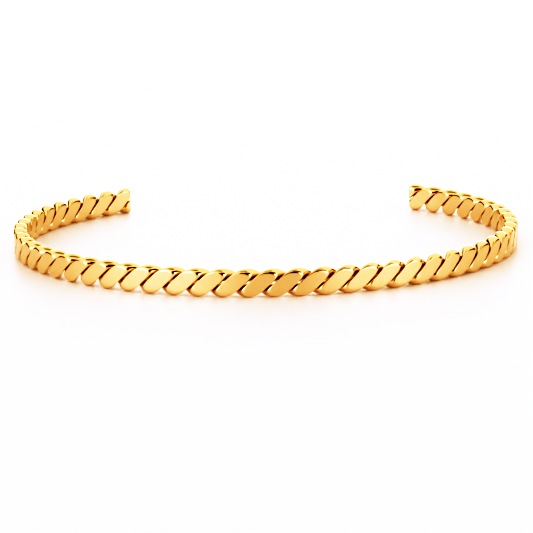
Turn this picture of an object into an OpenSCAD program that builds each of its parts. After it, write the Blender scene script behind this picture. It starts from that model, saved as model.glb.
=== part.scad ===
// Twisted cuff bangle: two wires laid into a left-handed rope, pressed flat on its outer and
// inner faces, bent into an open C and cut square at both ends.
// Units are millimetres. The bangle lies on its side: +Z is up, +X right, and the closed front
// faces -Y. The origin is under the middle of its bounding box, on the surface that it rests on.

/* [Rope] */
// Thickness of each of the two wires, measured away from the axis of the rope
wire_d = 1.50; // [1.40:0.02:1.54]
// Width of each wire, measured round the rope
wire_w = 1.74; // [1.40:0.02:1.78]
// Distance from the axis of the rope to the middle of each wire
twist_r = 0.875; // [0.865:0.005:0.90]
// Length of rope for half a turn of the twist, from one lobe to the next
half_turn = 2.86; // [2.76:0.02:3.00]
// Thickness of the rope between its outer flats and its inner flats
rope_t = 1.60; // [1.20:0.02:1.80]
// How far the edge of a flat is rounded over
edge_round = 0.20; // [0.06:0.02:0.50]
// Angle of wire A at the middle of the front, from the outer face towards the top
middle_angle = 3; // [0:1:359]

/* [Bend] */
// Radius of the rope's axis round the front
front_r = 30.6; // [28:0.2:34]
// Radius of the rope's axis round the sides and the back
side_r = 26.4; // [24:0.2:28]
// Half turns of rope in the front bend, on each side of the middle
front_half_turns = 9; // [5:1:11]
// Half turns of rope on each side of the middle in all, up to the cut end
arm_half_turns = 24.6; // [22:0.2:25.2]

/* [Mesh] */
// Slices that each wire is swept through for each half turn
slices = 6; // [3:1:6]
// Corners of the wire's outline in a slice
corners = 12; // [8:1:12]

/* [Hidden] */
gold = [0.93, 0.68, 0.26];

half_d = wire_d / 2;
half_w = wire_w / 2;
flat_n = rope_t / 2;
arm = arm_half_turns * half_turn;
front_arm = front_half_turns * half_turn;
front_angle = front_arm / front_r * 180 / PI;
// Growth of the twist angle along the rope, in degrees and in radians for each millimetre
twist_rate = 180 / half_turn;
twist_slope = twist_r * PI / half_turn;
// Share of a wire's outline that leans along the rope, because the wire crosses it aslant
lean = twist_slope / sqrt(1 + pow(twist_slope, 2));
along = 1 / sqrt(1 + pow(twist_slope, 2));
slice_count = ceil(2 * arm_half_turns * slices);

// Centre of the side bend, for the arm on the +X side
side_x = (front_r - side_r) * sin(front_angle);
side_y = front_r - (front_r - side_r) * cos(front_angle);

// Angle of a wire round the axis of the rope, at a distance s along it from the middle
function twist_at(s, start) = start + s * twist_rate;

// Point on the wire in the slice at s before pressing, as [outward, up] from the axis of the
// rope. The slice is flat across the rope, so each corner is taken where the leaning wire meets it.
function wire_point(s, corner, start) =
    let (
        around = corner - twist_at(s, start),
        from = s + half_w * lean * sin(around),
        turn = twist_at(from, start),
        out = twist_r + half_d * cos(around),
        side = half_w * along * sin(around)
    )
    [out * cos(turn) - side * sin(turn), out * sin(turn) + side * cos(turn)];

// Distance from the middle plane of the rope after it is pressed. A parabola joins the side of
// the wire to the flat.
function flattened(distance) =
    let (past = min(max((distance - flat_n) / edge_round + 1, 0), 2))
    past == 0 ? distance : flat_n + edge_round * (past - pow(past, 2) / 4 - 1);

// The same point after the rope is pressed to its thickness
function pressed(p) = [sign(p[0]) * flattened(abs(p[0])), p[1]];

// Heading of the rope's axis at s, in degrees turned from +X towards +Y
function heading(s) =
    abs(s) < front_arm
        ? s / front_r * 180 / PI
        : sign(s) * (front_angle + (abs(s) - front_arm) / side_r * 180 / PI);

// Centre of the bend that s lies on, and its radius
function bend_centre(s) =
    abs(s) < front_arm ? [0, front_r] : [sign(s) * side_x, side_y];
function bend_radius(s) = abs(s) < front_arm ? front_r : side_r;

// A point of the slice at s, in the plane of the bangle
function placed(s, p) =
    let (reach = bend_radius(s) + p[0], turn = heading(s), centre = bend_centre(s))
    [centre[0] + reach * sin(turn), centre[1] - reach * cos(turn), p[1]];

// One slice of a wire at s, corner after corner from the outer face upwards
function slice_points(s, start) = [
    for (j = [0:corners - 1]) placed(s, pressed(wire_point(s, j * 360 / corners, start)))
];

// Sum of a list's points, and their mean
function total(points, i = 0) =
    i < len(points) ? points[i] + total(points, i + 1) : [0, 0, 0];
function mean(points) = total(points) / len(points);

// All points of a wire, slice after slice from the left end to the right end, and then the
// middle of each cut end
function wire_points(start) = [
    for (i = [0:slice_count]) each slice_points(arm * (2 * i / slice_count - 1), start),
    mean(slice_points(-arm, start)),
    mean(slice_points(arm, start))
];

// Triangles round the wire, and round the middle of each cut end
function wire_faces() =
    let (last = slice_count * corners, left_middle = last + corners, right_middle = left_middle + 1)
    [
        for (i = [0:slice_count - 1], j = [0:corners - 1])
            let (k = (j + 1) % corners, here = i * corners, next = here + corners)
            each [[here + j, here + k, next + k], [here + j, next + k, next + j]],
        for (j = [0:corners - 1]) [left_middle, (j + 1) % corners, j],
        for (j = [0:corners - 1]) [right_middle, last + j, last + (j + 1) % corners]
    ];

points_a = wire_points(middle_angle);
points_b = wire_points(middle_angle + 180);
all_points = concat(points_a, points_b);
function low(axis) = min([for (p = all_points) p[axis]]);
function high(axis) = max([for (p = all_points) p[axis]]);
origin = [(low(0) + high(0)) / 2, (low(1) + high(1)) / 2, low(2)];

module strand(points) {
    translate(-origin)
        polyhedron(points = points, faces = wire_faces(), convexity = 10);
}

// Wire A, on the outer face at the middle of the front
module strand_a() {
    color(gold) strand(points_a);
}

// Wire B, half a turn of the twist away from wire A
module strand_b() {
    color(gold) strand(points_b);
}

strand_a();
strand_b();
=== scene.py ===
"""Dressed model of the twisted cuff bangle, with its floor, lights and camera.

Everything is in metres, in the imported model's frame: the bangle lies on its side on the floor at
z = 0, +X is right, and the closed front faces -Y.
"""
import math

import bpy
import numpy as np
from mathutils import Matrix, Vector


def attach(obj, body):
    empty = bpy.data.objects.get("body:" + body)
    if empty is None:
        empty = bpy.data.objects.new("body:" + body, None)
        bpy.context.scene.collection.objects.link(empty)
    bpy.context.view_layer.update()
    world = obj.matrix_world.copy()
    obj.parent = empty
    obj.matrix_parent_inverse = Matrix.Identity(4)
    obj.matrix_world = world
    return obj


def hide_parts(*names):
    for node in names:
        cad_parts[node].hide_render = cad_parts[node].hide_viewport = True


MM = 0.001

# Rope, as in the solids: two wires half a turn apart, pressed to a thickness
WIRE_D = 1.50 * MM
WIRE_W = 1.74 * MM
TWIST_R = 0.875 * MM
HALF_TURN = 2.86 * MM
ROPE_T = 1.60 * MM
EDGE_ROUND = 0.20 * MM
MIDDLE_ANGLE = math.radians(3)
START_ANGLES = {"strand_a": MIDDLE_ANGLE, "strand_b": MIDDLE_ANGLE + math.pi}

# Bend, as in the solids: one arc round the front and a tighter arc along each arm
FRONT_R = 30.6 * MM
SIDE_R = 26.4 * MM
FRONT_HALF_TURNS = 9
ARM_HALF_TURNS = 24.6

# Mesh: finer than the solids, and each outline is averaged with its neighbours this many times,
# which rounds the long edges of the flats
SLICES_PER_HALF_TURN = 40
CORNERS = 48
EDGE_SOFTENINGS = 1

# Floor: satin white, with a faint blue glow that keeps the shadows on it from turning too warm
FLOOR_HALF = 3.0
FLOOR_COLOUR = (0.95, 0.96, 0.95, 1)
FLOOR_ROUGHNESS = 0.38
FLOOR_GLOW = 0.13
GLOW_COLOUR = (0.38, 0.38, 1.00, 1)

# Studio: even light from all round, with soft cards that add light and gaps that take it away.
# Each has its middle as azimuth, from -Y towards +X, and elevation, its half width and half height
# with the width of its soft rim, all in degrees, and how much light it adds.
AMBIENT = 1.00
CARDS = {
    "front_gap": (5, 12, 14, 17, 5, -1.15),
    "left_card": (-48, 9, 18, 14, 8, 1.0),
    "right_card": (50, 9, 16, 13, 8, 1.2),
    "left_side_gap": (-128, 6, 34, 9, 8, -1.0),
    "right_side_gap": (122, 4, 26, 9, 8, -1.0),
    "upper_right_gap": (36, 35, 26, 14, 6, -1.1),
    "top_gap": (0, 90, 180, 14, 10, -0.7),
    "back_card": (180, 5, 24, 6, 8, 0.9),
}

# Contrast of the picture: for red, green and blue the strength and the power of the curve from the
# light in the scene to the light shown, which is 1 - exp(-strength * light^power). The curve is
# set at even steps of light up to its end.
CONTRAST = ((6.0, 2.3), (5.3, 2.9), (5.2, 5.0))
CURVE_END = 1.0
CURVE_STEPS = 11

# Finish of the gold: colours in linear light, each finish's span of roughness, and how far from
# the other wire a groove reaches. The deeper colour serves both the wear mottle and painted shade
# in the grooves, and the groove colour is a dark painted shade where the wires meet
GOLD_BRIGHT = (0.89, 0.685, 0.575, 1)
GOLD_WORN_AND_SHADED = (0.87, 0.65, 0.53, 1)
GROOVE_REACH = 0.40 * MM
GOLD_GROOVE_SHADE = (0.30, 0.16, 0.07, 1)
POLISH_ROUGHNESS = (0.03, 0.07)
SATIN_ROUGHNESS = (0.12, 0.20)
GROOVE_ROUGHNESS = 0.10

# Spans over which a mark takes effect: the mottle as wear and as polish, the brushing as satin, and
# the depth of a groove as a painted shade tint, as dark painted groove shade and as a dull skin
WORN_SPAN = (0.35, 0.70)
WORN_TINT = 0.35
MARK_SPAN = (0.3, 0.7)
SHADE_TINT_SPAN = (0.15, 0.60)
# How far the grooves take the colour towards the deeper colour, as painted shade
GROOVE_SHADE_TINT = 0.65
GROOVE_SHADE_SPAN = (0.25, 0.60)
DULL_SPAN = (0.2, 0.6)

# Flats: the skin counts as flat from the first share of the full distance from the middle plane of
# the rope, and wholly so once the second share is added
FLAT_FROM = 0.98
FLAT_RISE = 0.015

# Marks in the skin: sizes, noise settings as detail and roughness, and how high each stands
MOTTLE_SIZE = 0.9 * MM
GRAIN_SIZE = 0.11 * MM
SCRATCH_WIDTH = 0.035 * MM
SCRATCH_STRETCH = 14
MOTTLE_NOISE = (3.0, 0.5)
GRAIN_NOISE = (4.0, 0.6)
SCRATCH_NOISE = (2.0, 0.7)
GRAIN_HEIGHT = 0.4
SCRATCH_HEIGHT = (0.1, 0.6)
MARK_DEPTH = 0.02 * MM
FINE_STRENGTH = 0.06
WAVE_STRENGTH = 0.25

# Camera, at the photograph's angle
CAMERA_PLACE = Vector((9.21, -341.95, 72.47)) * MM
CAMERA_AIM = Vector((0.10, 0.26, -1.98)) * MM
CAMERA_ROLL = math.radians(-1.008)
CAMERA_LENS = 197.1
SENSOR_WIDTH = 36.0
CAMERA_NEAR = 0.01
CAMERA_FAR = 20

# Worked out from the sizes above, as in the solids
HALF_D = WIRE_D / 2
HALF_W = WIRE_W / 2
FLAT_N = ROPE_T / 2
ARM = ARM_HALF_TURNS * HALF_TURN
FRONT_ARM = FRONT_HALF_TURNS * HALF_TURN
FRONT_ANGLE = FRONT_ARM / FRONT_R
TWIST_RATE = math.pi / HALF_TURN
TWIST_SLOPE = TWIST_R * TWIST_RATE
LEAN = TWIST_SLOPE / math.hypot(1, TWIST_SLOPE)
ALONG = 1 / math.hypot(1, TWIST_SLOPE)
SIDE_CENTRE_X = (FRONT_R - SIDE_R) * math.sin(FRONT_ANGLE)
SIDE_CENTRE_Y = FRONT_R - (FRONT_R - SIDE_R) * math.cos(FRONT_ANGLE)


def rounded_clamp(value, limit, blend):
    """value kept within limit either way, with a parabola of that width in place of the corner."""
    size = np.abs(value)
    past = np.clip((size - (limit - blend)) / blend, 0, 2)
    kept = np.where(size < limit - blend, size, limit - blend + blend * (past - past**2 / 4))
    return np.sign(value) * kept


def wire_section(s, start):
    """Outline of the pressed wire in each slice s, as outward and upward from the rope's axis."""
    corner = np.linspace(0, 2 * math.pi, CORNERS, endpoint=False)[None, :]
    along = s[:, None]
    around = corner - start - along * TWIST_RATE
    met = along + HALF_W * LEAN * np.sin(around)
    turn = start + met * TWIST_RATE
    out = TWIST_R + HALF_D * np.cos(around)
    side = HALF_W * ALONG * np.sin(around)
    outward = out * np.cos(turn) - side * np.sin(turn)
    upward = out * np.sin(turn) + side * np.cos(turn)
    outward = rounded_clamp(outward, FLAT_N, EDGE_ROUND)
    for _ in range(EDGE_SOFTENINGS):
        outward = (np.roll(outward, 1, axis=1) + 2 * outward + np.roll(outward, -1, axis=1)) / 4
        upward = (np.roll(upward, 1, axis=1) + 2 * upward + np.roll(upward, -1, axis=1)) / 4
    return outward, upward


def bent(s, outward, upward):
    """Points of the slices s in the plane of the bangle, before they are set on the floor."""
    in_front = np.abs(s) < FRONT_ARM
    past_front = (np.abs(s) - FRONT_ARM) / SIDE_R
    heading = np.where(in_front, s / FRONT_R, np.sign(s) * (FRONT_ANGLE + past_front))[:, None]
    centre_x = np.where(in_front, 0, np.sign(s) * SIDE_CENTRE_X)[:, None]
    centre_y = np.where(in_front, FRONT_R, SIDE_CENTRE_Y)[:, None]
    reach = np.where(in_front, FRONT_R, SIDE_R)[:, None] + outward
    x = centre_x + reach * np.sin(heading)
    y = centre_y - reach * np.cos(heading)
    return np.stack([x, y, upward], axis=-1)


def strand_mesh(name):
    """Fine mesh of one wire: quads along it, and a fan of triangles on each cut end."""
    slice_count = math.ceil(2 * ARM_HALF_TURNS * SLICES_PER_HALF_TURN) + 1
    s = np.linspace(-ARM, ARM, slice_count)
    points = bent(s, *wire_section(s, START_ANGLES[name]))
    ends = [points[0].mean(axis=0), points[-1].mean(axis=0)]
    vertices = np.vstack([points.reshape(-1, 3), ends])
    ring = np.arange(CORNERS)
    following = (ring + 1) % CORNERS
    first = (np.arange(slice_count - 1) * CORNERS)[:, None]
    quads = np.stack(
        [first + ring, first + following, first + CORNERS + following, first + CORNERS + ring],
        axis=-1,
    ).reshape(-1, 4)
    last = (slice_count - 1) * CORNERS
    left_middle = slice_count * CORNERS
    faces = quads.tolist()
    faces += [[left_middle, int(b), int(a)] for a, b in zip(ring, following)]
    faces += [[left_middle + 1, int(last + a), int(last + b)] for a, b in zip(ring, following)]
    return vertices, faces


def build_strand(name):
    """One wire as a piece, with its marks, before it is moved into the frame."""
    vertices, faces = strand_mesh(name)
    mesh = bpy.data.meshes.new(name + "_wire")
    mesh.from_pydata(vertices.tolist(), [], faces)
    mesh.polygons.foreach_set("use_smooth", [len(face) == 4 for face in faces])
    add_skin_marks(mesh, name)
    mesh.update()
    piece = bpy.data.objects.new(name + "_wire", mesh)
    bpy.context.scene.collection.objects.link(piece)
    return piece


def add_skin_marks(mesh, name):
    """Marks for the gold: how flat the skin is, how near the other wire it lies, which sets the
    painted groove shade and the dull skin, and places along and round a wire.
    """
    slice_count = (len(mesh.vertices) - 2) // CORNERS
    s = np.linspace(-ARM, ARM, slice_count)
    outward, upward = wire_section(s, START_ANGLES[name])
    flat = np.clip((np.abs(outward) / FLAT_N - FLAT_FROM) / FLAT_RISE, 0, 1)
    other_outward, other_upward = wire_section(s, START_ANGLES[name] + math.pi)
    apart = np.full(outward.shape, np.inf)
    for corner in range(CORNERS):
        across = outward - other_outward[:, corner:corner + 1]
        above = upward - other_upward[:, corner:corner + 1]
        apart = np.minimum(apart, np.hypot(across, above))
    # Depth in a groove, from nearness to the other wire: the mask for the painted groove shade
    reach = GROOVE_REACH * (1 + np.abs(upward) / (TWIST_R + HALF_D))
    depth = np.clip(1 - apart / reach, 0, 1)
    for mark, values in (("flat", flat), ("depth", depth)):
        layer = mesh.attributes.new(mark, "FLOAT", "POINT")
        with_ends = np.append(values.ravel(), (0, 0))
        layer.data.foreach_set("value", with_ends.astype(np.float32))
    layer = mesh.uv_layers.new(name="along_wire")
    vertex_of_loop = np.empty(len(mesh.loops), dtype=np.int32)
    mesh.loops.foreach_get("vertex_index", vertex_of_loop)
    slice_of_loop = np.minimum(vertex_of_loop // CORNERS, slice_count - 1)
    corner_step = math.pi * WIRE_D / CORNERS
    place = np.stack([s[slice_of_loop], (vertex_of_loop % CORNERS) * corner_step], axis=-1)
    layer.data.foreach_set("uv", (place / MM).astype(np.float32).ravel())


class Nodes:
    """Short way to add nodes to a tree and to join them."""

    def __init__(self, tree):
        self.tree = tree

    def add(self, kind, settings=None, **inputs):
        """A node of that kind, with settings, and inputs as numbers, colours or other outputs."""
        node = self.tree.nodes.new(kind)
        for name, value in (settings or {}).items():
            setattr(node, name, value)
        for name, value in inputs.items():
            self.join(node, int(name[1:]) if name[1:].isdigit() else name.replace("_", " "), value)
        return node

    def join(self, node, name, value):
        """Set or link one input."""
        if isinstance(value, bpy.types.NodeSocket):
            self.tree.links.new(value, node.inputs[name])
        else:
            node.inputs[name].default_value = value

    def noise(self, vector, scale, detail, roughness):
        """Values of a noise, about 0.5."""
        return self.add("ShaderNodeTexNoise", Vector=vector, Scale=scale, Detail=detail,
                        Roughness=roughness).outputs["Fac"]

    def ramp(self, value, low, high, from_low, from_high):
        """The value moved smoothly from one span to another, and kept inside it."""
        return self.add("ShaderNodeMapRange", {"interpolation_type": "SMOOTHSTEP"}, i0=value,
                        i1=from_low, i2=from_high, i3=low, i4=high).outputs[0]

    def calc(self, operation, *values):
        """Result of one arithmetic step."""
        inputs = {f"i{place}": value for place, value in enumerate(values)}
        return self.add("ShaderNodeMath", {"operation": operation}, **inputs).outputs[0]

    def mix(self, share, a, b):
        """A number between a and b."""
        return self.add("ShaderNodeMix", {"data_type": "FLOAT"}, i0=share, i2=a, i3=b).outputs[0]

    def mix_colour(self, share, a, b):
        """A colour between a and b."""
        return self.add("ShaderNodeMix", {"data_type": "RGBA"}, i0=share, i6=a, i7=b).outputs[2]


def gold_material():
    """Polished yellow gold: bright rounds, finely brushed flats, and painted shade, darker and
    redder, in the grooves.
    """
    material = bpy.data.materials.new("polished_gold")
    material.use_nodes = True
    tree = material.node_tree
    nodes = Nodes(tree)
    shader = tree.nodes["Principled BSDF"]
    place = nodes.add("ShaderNodeTexCoord").outputs["Object"]
    along = nodes.add("ShaderNodeUVMap", {"uv_map": "along_wire"}).outputs["UV"]
    stretch = (1 / SCRATCH_STRETCH, 1, 1)
    stretched = nodes.add("ShaderNodeMapping", Vector=along, Scale=stretch).outputs[0]
    flat = nodes.add("ShaderNodeAttribute", {"attribute_name": "flat"}).outputs["Fac"]
    depth = nodes.add("ShaderNodeAttribute", {"attribute_name": "depth"}).outputs["Fac"]
    mottle = nodes.noise(place, 1 / MOTTLE_SIZE, *MOTTLE_NOISE)
    grain = nodes.noise(place, 1 / GRAIN_SIZE, *GRAIN_NOISE)
    scratch = nodes.noise(stretched, MM / SCRATCH_WIDTH, *SCRATCH_NOISE)

    worn = nodes.ramp(mottle, 0.0, WORN_TINT, *WORN_SPAN)
    # Wear mottle at random, plus painted shade that deepens the colour in the grooves
    wear_and_shade = nodes.calc("ADD", worn, nodes.ramp(depth, 0.0, GROOVE_SHADE_TINT, *SHADE_TINT_SPAN))
    colour = nodes.mix_colour(wear_and_shade, GOLD_BRIGHT, GOLD_WORN_AND_SHADED)
    # Painted shade: the colour goes dark and red towards the bottom of a groove, where the wires
    # meet
    groove_shade = nodes.ramp(depth, 0.0, 1.0, *GROOVE_SHADE_SPAN)
    colour = nodes.mix_colour(groove_shade, colour, GOLD_GROOVE_SHADE)

    polish = nodes.ramp(mottle, *POLISH_ROUGHNESS, *MARK_SPAN)
    satin = nodes.ramp(scratch, *SATIN_ROUGHNESS, *MARK_SPAN)
    dull = nodes.ramp(depth, 0.0, GROOVE_ROUGHNESS, *DULL_SPAN)
    roughness = nodes.calc("ADD", nodes.mix(flat, polish, satin), dull)

    brushed = nodes.calc("MULTIPLY", scratch, nodes.mix(flat, *SCRATCH_HEIGHT))
    fine = nodes.calc("ADD", nodes.calc("MULTIPLY", grain, GRAIN_HEIGHT), brushed)
    bump = nodes.add("ShaderNodeBump", Strength=FINE_STRENGTH, Distance=MARK_DEPTH, Height=fine)
    wave = nodes.add("ShaderNodeBump", Strength=WAVE_STRENGTH, Distance=MARK_DEPTH, Height=mottle,
                     Normal=bump.outputs[0])
    tree.links.new(colour, shader.inputs["Base Color"])
    tree.links.new(roughness, shader.inputs["Roughness"])
    tree.links.new(wave.outputs[0], shader.inputs["Normal"])
    shader.inputs["Metallic"].default_value = 1
    return material


def build_floor():
    """Satin white floor, which mirrors the studio softly at a low angle."""
    mesh = bpy.data.meshes.new("floor")
    signs = ((-1, -1), (1, -1), (1, 1), (-1, 1))
    corners = [(x * FLOOR_HALF, y * FLOOR_HALF, 0) for x, y in signs]
    mesh.from_pydata(corners, [], [(0, 1, 2, 3)])
    floor = bpy.data.objects.new("floor", mesh)
    bpy.context.scene.collection.objects.link(floor)
    material = bpy.data.materials.new("floor_white")
    material.use_nodes = True
    shader = material.node_tree.nodes["Principled BSDF"]
    shader.inputs["Base Color"].default_value = FLOOR_COLOUR
    shader.inputs["Roughness"].default_value = FLOOR_ROUGHNESS
    shader.inputs["Emission Color"].default_value = GLOW_COLOUR
    shader.inputs["Emission Strength"].default_value = FLOOR_GLOW
    mesh.materials.append(material)


def card_share(nodes, azimuth, elevation, card):
    """1 inside the card, 0 outside it, and between the two over its soft rim."""
    middle, height, half_width, half_height, rim, _ = (math.radians(value) for value in card)
    across = nodes.calc("SUBTRACT", azimuth, middle)
    across = nodes.calc("ABSOLUTE", nodes.calc("WRAP", across, math.pi, -math.pi))
    above = nodes.calc("ABSOLUTE", nodes.calc("SUBTRACT", elevation, height))
    share_across = nodes.ramp(across, 1.0, 0.0, half_width, half_width + rim)
    share_above = nodes.ramp(above, 1.0, 0.0, half_height, half_height + rim)
    return nodes.calc("MULTIPLY", share_across, share_above)


def build_studio():
    """World light: pale all round, plus the light that each card adds or each gap takes away."""
    world = bpy.data.worlds.new("studio")
    bpy.context.scene.world = world
    world.use_nodes = True
    nodes = Nodes(world.node_tree)
    direction = nodes.add("ShaderNodeTexCoord").outputs["Generated"]
    x, y, z = nodes.add("ShaderNodeSeparateXYZ", Vector=direction).outputs
    azimuth = nodes.calc("ARCTAN2", x, nodes.calc("MULTIPLY", y, -1.0))
    elevation = nodes.calc("ARCSINE", z)
    light = AMBIENT
    for card in CARDS.values():
        share = card_share(nodes, azimuth, elevation, card)
        light = nodes.calc("ADD", light, nodes.calc("MULTIPLY", share, card[-1]))
    light = nodes.calc("MAXIMUM", light, 0.0)
    world.node_tree.links.new(light, world.node_tree.nodes["Background"].inputs["Strength"])
    world.node_tree.nodes["Background"].inputs["Color"].default_value = (1, 1, 1, 1)


def set_contrast():
    """Strong, warm contrast of a catalogue picture, in which the floor is pure white."""
    view = bpy.context.scene.view_settings
    view.view_transform = "Standard"
    view.use_curve_mapping = True
    mapping = view.curve_mapping
    mapping.use_clip = False
    for curve, (strength, power) in zip(mapping.curves, CONTRAST):
        curve.points[0].location = (0, 0)
        curve.points[-1].location = (CURVE_END, 1)
        for step in range(1, CURVE_STEPS):
            light = CURVE_END * step / CURVE_STEPS
            curve.points.new(light, 1 - math.exp(-strength * light**power))
    mapping.update()


def foot_middle(pieces):
    """Point under the middle of the box round all the pieces, at its foot."""
    points = np.array([vertex.co for piece in pieces for vertex in piece.data.vertices])
    low = points.min(axis=0)
    high = points.max(axis=0)
    return Vector(((low[0] + high[0]) / 2, (low[1] + high[1]) / 2, low[2]))


def build_camera():
    """Camera at the photograph's angle, with its picture turned by the roll."""
    data = bpy.data.cameras.new("camera")
    data.sensor_width = SENSOR_WIDTH
    data.lens = CAMERA_LENS
    data.clip_start = CAMERA_NEAR
    data.clip_end = CAMERA_FAR
    camera = bpy.data.objects.new("camera", data)
    bpy.context.scene.collection.objects.link(camera)
    look = (CAMERA_AIM - CAMERA_PLACE).normalized()
    turned = look.to_track_quat("-Z", "Y").to_matrix() @ Matrix.Rotation(CAMERA_ROLL, 3, "Z")
    camera.matrix_world = Matrix.Translation(CAMERA_PLACE) @ turned.to_4x4()
    bpy.context.scene.camera = camera


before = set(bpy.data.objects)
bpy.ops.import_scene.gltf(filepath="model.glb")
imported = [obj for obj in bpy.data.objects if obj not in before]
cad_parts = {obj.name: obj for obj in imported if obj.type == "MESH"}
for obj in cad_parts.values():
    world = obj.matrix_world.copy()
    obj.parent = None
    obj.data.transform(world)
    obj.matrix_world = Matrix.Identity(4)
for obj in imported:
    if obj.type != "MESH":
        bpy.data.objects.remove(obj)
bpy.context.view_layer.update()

gold = gold_material()
pieces = [build_strand(name) for name in START_ANGLES]
origin = foot_middle(pieces)
for name, piece in zip(START_ANGLES, pieces):
    piece.data.transform(Matrix.Translation(-origin))
    piece.data.materials.append(gold)
    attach(piece, "root")
    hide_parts(name)

build_floor()
build_studio()
build_camera()
set_contrast()
